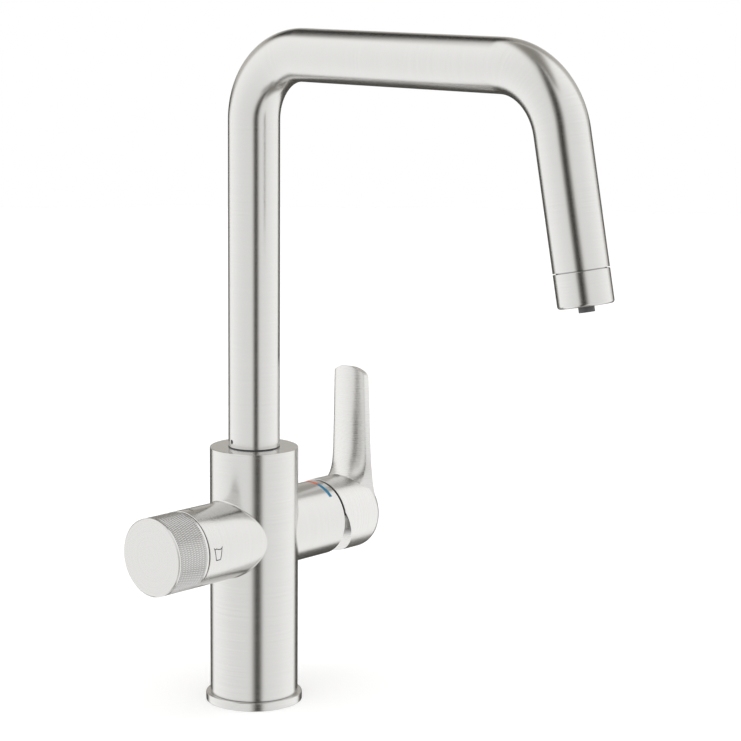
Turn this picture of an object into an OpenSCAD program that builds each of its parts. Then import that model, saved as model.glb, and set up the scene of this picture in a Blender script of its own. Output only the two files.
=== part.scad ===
// Filter kitchen mixer tap: column with a swivelling spout, a mixer lever on its
// right and a filtered-water knob on its left. Millimetres, +Z up.
// Origin: centre of the base ring's underside. +X points at the lever, -Y at the user.

/* [Column] */
// Diameter of the column
column_d = 48.4; // [46:0.1:50]
// Height of the column's top above the deck
column_top_z = 143; // [140:1:160]
// Height of the cross axis that the knob and the lever share
cross_z = 94.4; // [88:0.2:96]
// Bevel on the column's edges
column_bevel = 0.5; // [0.2:0.1:1]

/* [Base] */
// Diameter of the base ring
base_ring_d = 53.2; // [52:0.1:60]
// Height of the base ring
base_ring_h = 4.7; // [4:0.1:7]
// Recess of the column's foot above the deck
foot_recess = 1; // [0.5:0.1:1.5]
// Thickness of the base seal
base_seal_h = 1.2; // [1:0.1:1.5]
// Radius of the socket for an inlet hose
inlet_socket_r = 4.5; // [4:0.1:4.6]
// Radius of the socket for a fixing stud
stud_socket_r = 3.4; // [2.5:0.1:3.6]
// Depth of the sockets in the column's foot
socket_depth = 16; // [12:1:22]

/* [Spout] */
// Diameter of the spout tube
spout_d = 28; // [26:0.1:29]
// Wall of the spout tube
spout_wall = 1.5; // [1:0.1:1.6]
// Height of the spout's level run
spout_z = 357.2; // [320:1:380]
// Length of the straight level run
spout_run = 132.5; // [100:1:160]
// Bend radius over the column
rear_bend_r = 35.9; // [32:0.1:44]
// Bend radius over the outlet
front_bend_r = 38.1; // [32:0.1:44]
// Outward slant of the spout's down leg
leg_slant = 11.3; // [5:0.1:16]
// Length of the straight down leg
leg_run = 67; // [40:1:90]
// Swivel of the spout to each side
swivel_limit = 70; // [40:5:80]
// Direction of the spout's locking screw, from +X
lock_angle = 163.7; // [150:1:180]
// Height of the locking screw over the column's top
lock_rise = 3.7; // [3.5:0.1:5]

/* [Outlet] */
// Length of the outlet head
head_l = 17.6; // [15:0.1:24]
// Radius of the aerator
aerator_r = 11; // [9:0.1:11.2]
// Outer radius of the filtered water nozzle
nozzle_r = 4; // [3.4:0.1:4.5]
// How far the nozzle stands out of the outlet
nozzle_reach = 3; // [1:0.1:5]
// Count of jets in the aerator
jet_count = 16; // [8:1:20]

/* [Filter side] */
// Diameter of the filter knob and of the stub behind it
filter_d = 42.4; // [40:0.1:44]
// Distance of the stub's end from the column axis
stub_reach = 55.6; // [52:0.1:58]
// Length of the filter knob
knob_l = 22.5; // [20:0.1:26]
// Smooth rim at the knob's face
knob_face_rim = 2.2; // [1:0.1:4]
// Smooth rim at the knob's inner end
knob_back_rim = 1.6; // [1:0.1:3]
// Diamonds round the knurled band
knurl_count = 64; // [40:2:70]
// Depth of the knurl
knurl_depth = 0.35; // [0.1:0.05:0.5]

/* [Mixer side] */
// Diameter of the cartridge housing
housing_d = 41.9; // [41.6:0.1:43]
// Distance of the housing's end from the column axis
housing_reach = 51.9; // [50:0.1:53]
// Radius of the cartridge
cartridge_r = 17.5; // [16.5:0.1:17.6]
// Depth of the lever's tilt axis behind the housing's end
pivot_depth = 11.9; // [10.9:0.1:12.9]
// Radius of the round cap over the cartridge
cap_r = 20.3; // [19.8:0.1:20.4]
// Largest tilt of the lever
tilt_limit = 20; // [12:1:20]

/* [Lever] */
// Diameter of the lever's hub
lever_hub_d = 43; // [42:0.1:44]
// Length of the lever's hub
hub_l = 30.9; // [28:0.1:34]
// Rounding of the hub's outer edge
lever_round = 5; // [3:0.1:7]
// Height of the lever's tip above the cross axis
lever_rise = 84; // [70:1:95]
// Half width of the blade at its tip
blade_half = 11.4; // [9:0.1:13]
// Widening of the blade towards the hub, per unit of height
blade_taper = 0.045; // [0.02:0.005:0.08]
// Thickness of the blade in its middle
blade_depth = 7.7; // [7:0.1:9]
// Radius of the blade's rounded inner face
blade_face_r = 20; // [18:0.5:24]
// Slant of the hub's inner face below its middle
hub_slant = 22.8; // [21:0.1:26]
// Set-back of the hub's slanted face, at the middle
slant_back = 2.8; // [2.3:0.1:3.8]
// Side of the square stem in the lever
stem_square = 8; // [7:0.1:8.4]
// Radius of the lever's grub screw
lever_screw_r = 2.5; // [2:0.1:3]

/* [Fits] */
// Radial clearance of shafts that turn in a bore
running_gap = 0.06; // [0.03:0.01:0.1]
// Clearance of pieces that sit still in a seat
seat_gap = 0.1; // [0.05:0.01:0.15]
// Gap between moving covers
cover_gap = 0.4; // [0.3:0.05:0.6]

/* [Hidden] */
$fn = 72;
// Overlap of a cutting solid past the face that it opens
over = 1;

// Column and its chambers
column_r = column_d / 2;
filter_r = filter_d / 2;
housing_r = housing_d / 2;
foot_step = 2.2;
foot_r = column_r - foot_step;
seal_inner_r = foot_r + 1;
seal_outer_r = foot_r + 3;
seal_rise = 0.05;
nipple_bore_r = 12;
nipple_bore_h = 25;
nipple_floor_z = column_top_z - nipple_bore_h;
cartridge_bore_r = cartridge_r + seat_gap;
cartridge_depth = 37.9;
cartridge_floor_x = housing_reach - cartridge_depth;
nut_bore_r = 19;
nut_l = 6.8;
nut_play = 3.1;
nut_slot_l = 1.5;
nut_slot_w = 4;
nut_slot_h = 2;
nut_seat_x = housing_reach - nut_l - nut_play;
valve_r = 13;
valve_floor_x = -20.5;
valve_shoulder_x = -50;
valve_seal_x = valve_shoulder_x + 7.1;
valve_ring_r = 0.94;
valve_groove_h = 2;
valve_neck_r = 8;
port_offset = 6;
channel_r = 2.5;
inlet_channel_r = 3;
// Places of the sockets in the column's foot
mixer_inlet_x = 8;
mixer_inlet_y = 7;
filter_inlet_x = -12;
stud_x = -4;
stud_y = 15;
mixed_channel_x = 9;

// Spout frame: where the bends end and where the outlet head starts
spout_r = spout_d / 2;
spout_bore_r = spout_r - spout_wall;
glide_h = 0.5;
glide_lip = 0.1;
tube_foot_z = column_top_z + glide_h + seat_gap;
front_bend_y = -(rear_bend_r + spout_run);
leg_top_y = front_bend_y - front_bend_r * cos(leg_slant);
leg_top_z = spout_z - front_bend_r + front_bend_r * sin(leg_slant);
outlet_y = leg_top_y - leg_run * sin(leg_slant);
outlet_z = leg_top_z - leg_run * cos(leg_slant);
head_seam = 0.3;
head_spigot_l = 10;
head_ring_r = 0.5;
head_groove_z = 5;
head_groove_r = spout_bore_r - 2 * head_ring_r - seat_gap;
aerator_recess = 0.6;
aerator_l = 10.6;
jet_r = 0.8;
leg_step = 0.03;

// Nipple, sleeve and hose inside the spout's foot
nipple_r = 10;
nipple_rise = 33;
nipple_top_z = column_top_z + nipple_rise;
nipple_inner_r = 7;
// Height of the chamber under the nipple, where the mixed water comes in
mixing_h = 3;
sleeve_bore_r = nipple_r + running_gap;
sleeve_top_z = nipple_top_z + 3;
lock_z = column_top_z + lock_rise;
lock_screw_r = 1.25;
lock_tip_r = 8.8;
lock_groove_r = 8.4;
lock_groove_w = 2 * lock_screw_r + 2 * seat_gap;
lock_swing = swivel_limit + asin((lock_screw_r + seat_gap) / lock_tip_r) + 1;
ring_section_r = 0.9;
ring_groove_w = 2.2;
ring_z = [nipple_top_z - 20, nipple_top_z - 8];
hose_r = 4;
hose_bore_r = 2.6;
riser_r = hose_bore_r - running_gap;
riser_bore_r = 1.6;
riser_overlap = 8;
riser_seat_l = 4;
riser_collar_h = 2;
hose_foot_z = nipple_top_z + 2;
hose_leg = leg_run - 12;
nozzle_play = 0.4;

// Knob, insert and spindle
knob_back_x = -(stub_reach + 0.5);
knob_face_x = knob_back_x - knob_l;
spindle_r = 4;
insert_r = 10;
insert_x = knob_back_x - 3.6;
insert_l = 12;
knob_edge = 0.3;
disc_h = 3.5;
filter_disc_r = 9.7;
valve_cavity_r = 10;
valve_cavity_l = 11.2;

// Cartridge stack, all along X
base_plate = 3;
cavity_x = cartridge_floor_x + base_plate + seat_gap;
fixed_disc_x = cavity_x + seat_gap;
moving_disc_x = fixed_disc_x + disc_h + seat_gap;
carrier_x = moving_disc_x + disc_h + seat_gap;
carrier_h = 4.6;
carrier_floor = 0.8;
carrier_gap = 0.6;
driver_x = carrier_x + carrier_h + carrier_gap;
pivot_x = housing_reach - pivot_depth;
driver_past_pivot = 6;
cup_rim = 1;
cup_step = 0.3;
driver_end_x = pivot_x + driver_past_pivot;
disc_chamber_r = 14.2;
mixer_disc_r = 9.6;
driver_r = 12.9;
cartridge_neck_r = cartridge_r - 2.5;
tip_arm = 11;
tip_x = pivot_x - tip_arm;
tip_r = 2.4;
tip_neck_r = 1.8;
tip_play = 0.45;
stem_r = 3.8;
stem_back = 4;
pin_r = 1.25;
pin_l = 23;
cap_wall = 1.3;
cap_flange_h = 2;
cap_mouth_r = 12.4;
cap_flange_r = cap_r - cap_wall - 2.8;
lever_cavity_r = cap_r + cover_gap;
lever_gap = 0.3;
lever_face_x = housing_reach + lever_gap;
lever_end_x = lever_face_x + hub_l;
slant_x = lever_face_x + slant_back;
hub_floor = 9.1;
stem_end_x = lever_end_x - hub_floor;
grub_l = 9;
grub_edge = 3.5;
grub_x = stem_end_x - grub_edge - lever_screw_r;

// Blade of the lever, heights counted from the cross axis
hub_r = lever_hub_d / 2;
join_angle = 27;
join_k = hub_r * sin(join_angle);
flare_l = 11.5;
flare_h = hub_r * cos(join_angle) - blade_half - blade_taper * (lever_rise - join_k);
hub_skin = 0.4;
face_axis_x = lever_end_x - blade_depth + blade_face_r;
blade_back_r = 60;
blade_crown = 3.4;
tip_round = 1.2;
shoulder_k = lever_rise - blade_crown - tip_round / 2;
sweep_k = hub_r - 2;
sweep_l = 5.8;
sweep_rate = 5.5;
sweep_step = 2;

module steel() { color([0.8, 0.8, 0.79]) children(); }
module brass_color() { color([0.78, 0.62, 0.33]) children(); }
module rubber_color() { color([0.12, 0.12, 0.12]) children(); }
module ceramic_color() { color([0.93, 0.92, 0.88]) children(); }

// Solid cylinder along X between two places, on the cross axis
module bar_x(x0, x1, r) {
    translate([x0, 0, cross_z]) rotate([0, 90, 0]) cylinder(h = x1 - x0, r = r);
}

// Ring along X between two places, on the cross axis
module ring_x(x0, x1, r_out, r_in) {
    difference() {
        bar_x(x0, x1, r_out);
        bar_x(x0 - over, x1 + over, r_in);
    }
}

// Turns a profile drawn as [distance along +X, radius] about the cross axis
module turned_x() {
    translate([0, 0, cross_z]) rotate([0, 90, 0])
        rotate_extrude() rotate([0, 0, 90]) mirror([0, 1]) children();
}

// O-ring about an axis along Z
module o_ring(ring_r, section_r) {
    rotate_extrude() translate([ring_r, 0]) circle(r = section_r, $fn = 24);
}

// Tube bent along the spout's centre line, from a height down to a length of the leg.
// The leg's wall is a hair thinner, so that it can run on into the front bend's end.
module bent_tube(r_out, r_in, foot_z, leg) {
    translate([0, 0, foot_z]) linear_extrude(height = spout_z - rear_bend_r - foot_z) annulus(r_out, r_in);
    translate([0, -rear_bend_r, spout_z - rear_bend_r]) rotate([90, 0, 90])
        rotate_extrude(angle = 90) translate([rear_bend_r, 0]) annulus(r_out, r_in);
    translate([0, -rear_bend_r, spout_z]) rotate([90, 0, 0])
        linear_extrude(height = spout_run) annulus(r_out, r_in);
    translate([0, front_bend_y, spout_z - front_bend_r]) rotate([90, 0, 90]) rotate([0, 0, 90])
        rotate_extrude(angle = 90 - leg_slant) translate([front_bend_r, 0]) annulus(r_out, r_in);
    translate([0, leg_top_y, leg_top_z]) rotate([-leg_slant, 0, 0]) translate([0, 0, -leg])
        linear_extrude(height = leg + 10 * leg_step) annulus(r_out - leg_step, r_in + leg_step);
}

// Section of a tube
module annulus(r_out, r_in) {
    difference() {
        circle(r = r_out);
        circle(r = r_in);
    }
}

// Puts children at the outlet seam, with -Z along the water's way out
module at_outlet() {
    translate([0, outlet_y, outlet_z]) rotate([-leg_slant, 0, 0]) children();
}

// Tube along Z
module tube_z(z0, z1, r_out, r_in) {
    difference() {
        translate([0, 0, z0]) cylinder(h = z1 - z0, r = r_out);
        translate([0, 0, z0 - over]) cylinder(h = z1 - z0 + 2 * over, r = r_in);
    }
}

// Column casting: bevelled column, left stub, right housing and their chambers
module column_body() {
    steel() difference() {
        union() {
            rotate_extrude() polygon([[0, foot_recess], [foot_r, foot_recess],
                [foot_r, base_ring_h + seat_gap], [column_r - column_bevel, base_ring_h + seat_gap],
                [column_r, base_ring_h + seat_gap + column_bevel], [column_r, column_top_z - column_bevel],
                [column_r - column_bevel, column_top_z], [0, column_top_z]]);
            bar_x(-stub_reach, 0, filter_r);
            bar_x(0, housing_reach, housing_r);
        }
        // Spout nipple's bore and the two channels that open in its floor
        translate([0, 0, nipple_floor_z]) cylinder(h = nipple_bore_h + over, r = nipple_bore_r);
        translate([0, 0, cross_z + port_offset])
            cylinder(h = nipple_bore_h + over, r = channel_r + seat_gap);
        translate([mixed_channel_x, 0, cross_z + port_offset]) cylinder(h = nipple_bore_h, r = channel_r);
        // Cartridge chamber
        bar_x(cartridge_floor_x, housing_reach + over, cartridge_bore_r);
        bar_x(nut_seat_x, housing_reach + over, nut_bore_r);
        // Filter valve chamber
        bar_x(-stub_reach - over, valve_floor_x, valve_r);
        // Ports between the chambers and the channels
        translate([0, 0, port_offset]) bar_x(mixed_channel_x, cartridge_floor_x + over, channel_r);
        translate([0, 0, port_offset]) bar_x(valve_floor_x - over, 0, channel_r);
        translate([0, 0, -port_offset]) bar_x(valve_floor_x - over, filter_inlet_x, channel_r);
        for (side = [-1, 1])
            translate([0, side * mixer_inlet_y, 0])
                bar_x(mixer_inlet_x, cartridge_floor_x + over, channel_r);
        // Inlet sockets and their risers
        for (side = [-1, 1]) {
            inlet(mixer_inlet_x, side * mixer_inlet_y, cross_z + channel_r);
            translate([stud_x, side * stud_y, foot_recess - over])
                cylinder(h = socket_depth + over, r = stud_socket_r);
        }
        inlet(filter_inlet_x, 0, cross_z - port_offset + channel_r);
    }
}

// Hose socket with a narrower riser up to a height
module inlet(x, y, top_z) {
    translate([x, y, foot_recess - over]) cylinder(h = socket_depth + over, r = inlet_socket_r);
    translate([x, y, foot_recess]) cylinder(h = top_z - foot_recess, r = inlet_channel_r);
}

// Ring under the column, with a groove for its seal
module base_ring() {
    ring_r = base_ring_d / 2;
    steel() difference() {
        rotate_extrude() polygon([[foot_r + seat_gap, 0], [ring_r - 0.4, 0], [ring_r, 0.4],
            [ring_r, base_ring_h - 0.7], [ring_r - 0.2, base_ring_h - 0.2],
            [ring_r - 0.7, base_ring_h], [foot_r + seat_gap, base_ring_h]]);
        tube_z(-over, base_seal_h + seat_gap, seal_outer_r, seal_inner_r);
    }
}

module base_seal() {
    rubber_color() tube_z(seal_rise, base_seal_h, seal_outer_r - seat_gap, seal_inner_r + seat_gap);
}

// Fixed post that the spout turns on
module spout_nipple() {
    brass_color() difference() {
        union() {
            translate([0, 0, nipple_floor_z + mixing_h])
                cylinder(h = nipple_bore_h - mixing_h, r = nipple_bore_r - seat_gap);
            translate([0, 0, column_top_z - over]) cylinder(h = nipple_rise + over, r = nipple_r);
        }
        translate([0, 0, nipple_floor_z])
            cylinder(h = nipple_bore_h + nipple_rise + over, r = nipple_inner_r);
        for (z = ring_z)
            tube_z(z - ring_groove_w / 2, z + ring_groove_w / 2,
                nipple_r + over, nipple_r - 2 * ring_section_r);
        translate([0, 0, lock_z - lock_groove_w / 2]) rotate([0, 0, lock_angle - lock_swing])
            rotate_extrude(angle = 2 * lock_swing) translate([lock_groove_r, 0])
            square([nipple_r - lock_groove_r + over, lock_groove_w]);
    }
}

module nipple_o_rings() {
    rubber_color() for (z = ring_z)
        translate([0, 0, z]) o_ring(nipple_r - ring_section_r, ring_section_r);
}

module spout_glide_ring() {
    color([0.9, 0.9, 0.88])
        tube_z(column_top_z, column_top_z + glide_h, spout_r + glide_lip, nipple_r + seat_gap);
}

// Tube that carries the filtered water from the column into the spout's hose
module filter_riser() {
    brass_color() difference() {
        union() {
            translate([0, 0, nipple_floor_z - riser_seat_l]) cylinder(h = riser_seat_l, r = channel_r);
            translate([0, 0, nipple_floor_z]) cylinder(h = riser_collar_h, r = channel_r + 1.5);
            translate([0, 0, nipple_floor_z])
                cylinder(h = hose_foot_z + riser_overlap - nipple_floor_z, r = riser_r);
        }
        translate([0, 0, nipple_floor_z - riser_seat_l - over])
            cylinder(h = hose_foot_z + riser_overlap, r = riser_bore_r);
    }
}

// Filtered water valve, from its disc chamber to the spindle's bearing
module filter_valve_body() {
    inner_x = valve_floor_x - seat_gap;
    mouth_x = inner_x - valve_cavity_l;
    brass_color() difference() {
        union() {
            bar_x(valve_shoulder_x, inner_x, valve_r - seat_gap);
            bar_x(knob_back_x - 2, valve_shoulder_x + over, valve_neck_r);
        }
        bar_x(mouth_x, inner_x + over, valve_cavity_r);
        bar_x(knob_back_x - 2 - over, mouth_x + over, spindle_r + running_gap);
        // Groove for the valve's seal
        ring_x(valve_seal_x - ring_groove_w / 2, valve_seal_x + ring_groove_w / 2,
            valve_r + over, valve_r - valve_groove_h);
    }
}

module filter_valve_seal() {
    rubber_color() translate([valve_seal_x, 0, cross_z]) rotate([0, 90, 0])
        o_ring(valve_r - seat_gap - valve_ring_r, valve_ring_r);
}

// Ceramic disc with two round ports
module fixed_filter_disc() {
    x0 = valve_floor_x - 3 * seat_gap - disc_h;
    ceramic_color() difference() {
        bar_x(x0, x0 + disc_h, filter_disc_r + 0.1);
        for (side = [-1, 1])
            translate([0, 0, side * port_offset]) bar_x(x0 - over, x0 + disc_h + over, channel_r);
    }
}

// Ceramic disc with one slot, turned by the spindle
module moving_filter_disc() {
    x1 = valve_floor_x - 4 * seat_gap - disc_h;
    ceramic_color() difference() {
        bar_x(x1 - disc_h, x1, filter_disc_r);
        translate([0, port_offset, 0]) bar_x(x1 - disc_h - over, x1 + over, channel_r);
        translate([0, -port_offset, 0]) bar_x(x1 - disc_h - over, x1 + over, channel_r);
    }
}

// Spindle with the dog that grips the moving disc
module filter_spindle() {
    dog_x = valve_floor_x - 5 * seat_gap - 2 * disc_h;
    brass_color() union() {
        bar_x(dog_x - 3, dog_x, filter_disc_r - 1.2);
        difference() {
            bar_x(insert_x - insert_l + 1, dog_x - 1, spindle_r);
            translate([insert_x - insert_l, spindle_r - 0.8, cross_z - spindle_r])
                cube([insert_l, 2, 2 * spindle_r]);
        }
    }
}

module knob_insert() {
    color([0.85, 0.85, 0.85]) difference() {
        bar_x(insert_x - insert_l, insert_x, insert_r - seat_gap);
        difference() {
            bar_x(insert_x - insert_l - over, insert_x + over, spindle_r + seat_gap);
            translate([insert_x - insert_l - over, spindle_r - 0.8 + seat_gap, cross_z - spindle_r])
                cube([insert_l + 2 * over, 2, 2 * spindle_r]);
        }
    }
}

// Radius of a knurl vertex: diamonds stand out where row and column are both odd or even
function knurl_r(row, column) = filter_r - ((row + column) % 2 == 0 ? 0.05 : knurl_depth);

// Filter knob: plain face, smooth rims, knurled band, and a hollow back, as one skin of rings
module filter_knob() {
    n = 2 * knurl_count;
    band_x0 = knob_face_x + knob_face_rim;
    band_l = knob_l - knob_face_rim - knob_back_rim;
    rows = round(band_l * knurl_count / (PI * filter_r));
    hollow_r = filter_r - 4;
    // Rings before and after the knurled band, as [distance along X, radius]
    front = [[knob_face_x, filter_r - knob_edge], [knob_face_x + knob_edge, filter_r], [band_x0, filter_r]];
    back = [[band_x0 + band_l, filter_r], [knob_back_x - knob_edge, filter_r],
        [knob_back_x, filter_r - knob_edge], [knob_back_x, hollow_r], [insert_x + seat_gap, hollow_r],
        [insert_x + seat_gap, insert_r], [insert_x - insert_l - seat_gap, insert_r]];
    band = [for (row = [0:rows]) [band_x0 + band_l * (row + 0.5) / (rows + 1), row]];
    turns = [for (i = [0:n - 1]) [cos(360 * i / n), sin(360 * i / n)]];
    points = concat(
        [for (ring = front) for (t = turns) [ring[0], ring[1] * t[0], cross_z + ring[1] * t[1]]],
        [for (ring = band) for (i = [0:n - 1]) let (r = knurl_r(ring[1], i))
            [ring[0], r * turns[i][0], cross_z + r * turns[i][1]]],
        [for (ring = back) for (t = turns) [ring[0], ring[1] * t[0], cross_z + ring[1] * t[1]]],
        [[knob_face_x, 0, cross_z], [insert_x - insert_l - seat_gap, 0, cross_z]]);
    last = len(front) + len(band) + len(back) - 1;
    sides = [for (j = [0:last - 1]) for (i = [0:n - 1]) for (half = [0, 1])
        let (a = j * n + i, b = j * n + (i + 1) % n, c = b + n, d = a + n)
        (i + j) % 2 == 0 ? (half == 0 ? [a, c, b] : [a, d, c]) : (half == 0 ? [a, d, b] : [b, d, c])];
    ends = [for (i = [0:n - 1]) for (half = [0, 1])
        let (a = i + half * last * n, b = (i + 1) % n + half * last * n)
        half == 0 ? [(last + 1) * n, a, b] : [(last + 1) * n + 1, b, a]];
    steel() polyhedron(points = points, faces = concat(sides, ends), convexity = 4);
}

// Spout tube, swept and hollow
module spout_tube() {
    steel() difference() {
        bent_tube(spout_r, spout_bore_r, tube_foot_z, leg_run);
        lock_hole(lock_screw_r + seat_gap);
    }
}

// Radial hole for the locking screw
module lock_hole(r) {
    translate([0, 0, lock_z]) rotate([0, 90, lock_angle]) translate([0, 0, nipple_r - 0.5])
        cylinder(h = spout_r, r = r);
}

module spout_sleeve() {
    brass_color() difference() {
        tube_z(tube_foot_z, sleeve_top_z, spout_bore_r - seat_gap / 2, sleeve_bore_r);
        lock_hole(lock_screw_r + seat_gap / 2);
    }
}

module spout_lock_screw() {
    color([0.6, 0.6, 0.6]) difference() {
        translate([0, 0, lock_z]) rotate([0, 90, lock_angle])
            translate([0, 0, lock_tip_r]) cylinder(h = spout_r - 0.6 - lock_tip_r, r = lock_screw_r);
        translate([0, 0, lock_z]) rotate([0, 90, lock_angle])
            translate([0, 0, spout_r - 2]) cylinder(h = 2, r = 0.75, $fn = 6);
    }
}

// Filtered water hose through the whole spout
module inner_hose() {
    color([0.9, 0.92, 0.95]) bent_tube(hose_r, hose_bore_r, hose_foot_z, hose_leg);
}

// Outlet head: sleeve flush with the tube, with a spigot up into it
module outlet_head() {
    low = -head_l;
    stop_z = low + aerator_recess + aerator_l + 2 * seat_gap;
    steel() at_outlet() difference() {
        rotate_extrude() polygon([[aerator_r + seat_gap, low], [spout_r - 0.9, low],
            [spout_r - 0.25, low + 0.25], [spout_r, low + 0.9], [spout_r, -head_seam],
            [spout_bore_r - seat_gap, -head_seam], [spout_bore_r - seat_gap, head_spigot_l],
            [aerator_r - 1.2, head_spigot_l], [aerator_r - 1.2, stop_z], [aerator_r + seat_gap, stop_z]]);
        tube_z(head_groove_z - 1.1, head_groove_z + 1.1, spout_bore_r + over, head_groove_r);
    }
}

module head_seal() {
    rubber_color() at_outlet() translate([0, 0, head_groove_z])
        o_ring(head_groove_r + head_ring_r + seat_gap / 2, head_ring_r);
}

// Aerator with a ring of jets round the nozzle's bore
module aerator_insert() {
    low = -head_l + aerator_recess;
    jet_ring_r = (aerator_r + nozzle_r) / 2;
    color([0.55, 0.55, 0.56]) at_outlet() difference() {
        translate([0, 0, low]) cylinder(h = aerator_l, r = aerator_r);
        translate([0, 0, low - over]) cylinder(h = aerator_l + 2 * over, r = nozzle_r + seat_gap);
        for (i = [0:jet_count - 1])
            rotate([0, 0, 360 * i / jet_count]) translate([jet_ring_r, 0, low - over])
                cylinder(h = aerator_l + 2 * over, r = jet_r);
    }
}

// Filtered water nozzle, with the barb that the hose is pushed on
module filter_nozzle() {
    shoulder_l = head_l + nozzle_reach + leg_run - hose_leg - nozzle_play;
    barb_l = shoulder_l + riser_overlap;
    color([0.27, 0.27, 0.28]) at_outlet() translate([0, 0, -head_l - nozzle_reach]) difference() {
        union() {
            cylinder(h = shoulder_l, r = nozzle_r);
            cylinder(h = barb_l, r = hose_bore_r - seat_gap);
        }
        translate([0, 0, -over]) cylinder(h = barb_l + 2 * over, r = hose_bore_r - 1);
        translate([0, 0, -over]) cylinder(h = 2 * nozzle_reach + over, r = nozzle_r - 1);
    }
}

// Plastic cup that holds the mixer discs
module cartridge_housing() {
    x0 = cartridge_floor_x + seat_gap;
    color([0.82, 0.8, 0.74]) difference() {
        union() {
            bar_x(x0, nut_seat_x, cartridge_r);
            bar_x(nut_seat_x - over, driver_end_x + cup_rim, cartridge_neck_r);
        }
        bar_x(cavity_x, driver_x - cup_step, disc_chamber_r);
        bar_x(cavity_x, driver_end_x + cup_rim + over, driver_r + running_gap);
        mixer_ports(x0 - over, cavity_x + over);
        for (place = port_places())
            translate([0, place[0], place[1]]) bar_x(x0 - over, x0 + 1.2, channel_r + 1.6);
    }
}

// Places of the two inlets and of the mixed outlet on the cartridge's floor
function port_places() = [[mixer_inlet_y, 0], [-mixer_inlet_y, 0], [0, port_offset]];

module mixer_ports(x0, x1) {
    for (place = port_places())
        translate([0, place[0], place[1]]) bar_x(x0, x1, channel_r);
}

module cartridge_port_seals() {
    rubber_color() for (place = port_places())
        translate([cartridge_floor_x + seat_gap + 0.55, place[0], cross_z + place[1]])
            rotate([0, 90, 0]) o_ring(channel_r + 0.8, 0.5);
}

module fixed_mixer_disc() {
    ceramic_color() difference() {
        bar_x(fixed_disc_x, fixed_disc_x + disc_h, disc_chamber_r - seat_gap);
        mixer_ports(fixed_disc_x - over, fixed_disc_x + disc_h + over);
    }
}

// Disc with the chamber that joins the ports of the fixed disc
module moving_mixer_disc() {
    ceramic_color() difference() {
        bar_x(moving_disc_x, moving_disc_x + disc_h, mixer_disc_r);
        bar_x(moving_disc_x - over, moving_disc_x + disc_h / 2, mixer_disc_r - 2.4);
    }
}

// Carrier that the stem's ball pushes to and fro
module disc_carrier() {
    color([0.3, 0.45, 0.6]) difference() {
        bar_x(carrier_x, carrier_x + carrier_h, mixer_disc_r);
        bar_x(carrier_x + carrier_floor, carrier_x + carrier_h + over, tip_r + tip_play);
    }
}

// Turning drum that lets the stem tilt in its slot
module cartridge_driver() {
    slot_half = stem_r / cos(tilt_limit) + (driver_end_x - pivot_x) * tan(tilt_limit) + 2 * cover_gap;
    color([0.86, 0.86, 0.84]) difference() {
        bar_x(driver_x, driver_end_x, driver_r);
        translate([driver_x - over, -stem_r - cover_gap, cross_z - slot_half])
            cube([driver_end_x - driver_x + 2 * over, 2 * (stem_r + cover_gap), 2 * slot_half]);
        pin_solid(driver_r * 2 + over, pin_r + 0.02);
    }
}

// Cylinder along the lever's tilt axis
module pin_solid(l, r) {
    translate([pivot_x, l / 2, cross_z]) rotate([90, 0, 0]) cylinder(h = l, r = r);
}

module pivot_pin() {
    color([0.6, 0.6, 0.6]) pin_solid(pin_l, pin_r);
}

// Stem: ball in the carrier, round through the drum, square in the lever
module lever_stem() {
    square_x = pivot_x + lever_cavity_r;
    brass_color() difference() {
        union() {
            translate([tip_x, 0, cross_z]) sphere(r = tip_r);
            bar_x(tip_x, pivot_x - stem_back + over, tip_neck_r);
            bar_x(pivot_x - stem_back, square_x + over, stem_r);
            translate([square_x + seat_gap, -stem_square / 2, cross_z - stem_square / 2])
                cube([stem_end_x - square_x - seat_gap, stem_square, stem_square]);
        }
        pin_solid(2 * stem_r + over, pin_r + running_gap);
    }
}

// Ring nut that holds the cartridge down
module cartridge_nut() {
    brass_color() difference() {
        bar_x(nut_seat_x + seat_gap, nut_seat_x + nut_l, nut_bore_r - seat_gap);
        bar_x(nut_seat_x, nut_seat_x + nut_l + over, cartridge_neck_r + seat_gap);
        for (i = [0:5])
            translate([nut_seat_x + nut_l - nut_slot_l, 0, cross_z]) rotate([60 * i, 0, 0])
                translate([0, -nut_slot_w / 2, nut_bore_r - nut_slot_h])
                cube([nut_slot_l + over, nut_slot_w, nut_slot_h + over]);
    }
}

// Round cap, centred on the tilt axis so that the lever's hollow clears it
module cartridge_cap() {
    flange_x = nut_seat_x + nut_l + seat_gap;
    mouth = sqrt(cap_r * cap_r - cap_mouth_r * cap_mouth_r);
    arc_start = flange_x + cap_flange_h / 2 - pivot_x;
    steel() turned_x() union() {
        translate([flange_x, cap_flange_r]) square([cap_flange_h, nut_bore_r - seat_gap - cap_flange_r]);
        translate([pivot_x, 0]) intersection() {
            difference() {
                circle(r = cap_r);
                circle(r = cap_r - cap_wall);
            }
            translate([arc_start, cap_mouth_r - 2 * cap_wall]) square([mouth - arc_start, cap_r]);
        }
    }
}

// Half width of the blade at a height
function blade_width(k) = k < join_k
    ? sqrt(pow(hub_r - hub_skin, 2) - k * k)
    : blade_half + blade_taper * (lever_rise - k) + flare_h * exp(-(k - join_k) / flare_l);

// Radius of the blade's inner face, which sweeps out at its foot on the hub's top
function face_r(k) = blade_face_r + sweep_l * exp(-max(0, k - sweep_k) / sweep_rate);

// Front outline of the blade as [half width, height], from the hub up to the crowned tip
function blade_outline() = concat(
    [for (k = [0, 5, join_k]) [blade_width(k), k]],
    [for (k = [join_k + 3:4:shoulder_k - 1]) [blade_width(k), k]],
    [for (a = [0:15:75]) [blade_half - tip_round + tip_round * cos(a), shoulder_k + tip_round * sin(a)]],
    [for (y = [blade_half - 2.5:-2:0.1]) [y, lever_rise - blade_crown * pow(y / blade_half, 2)]],
    [[0, lever_rise]]);

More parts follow.
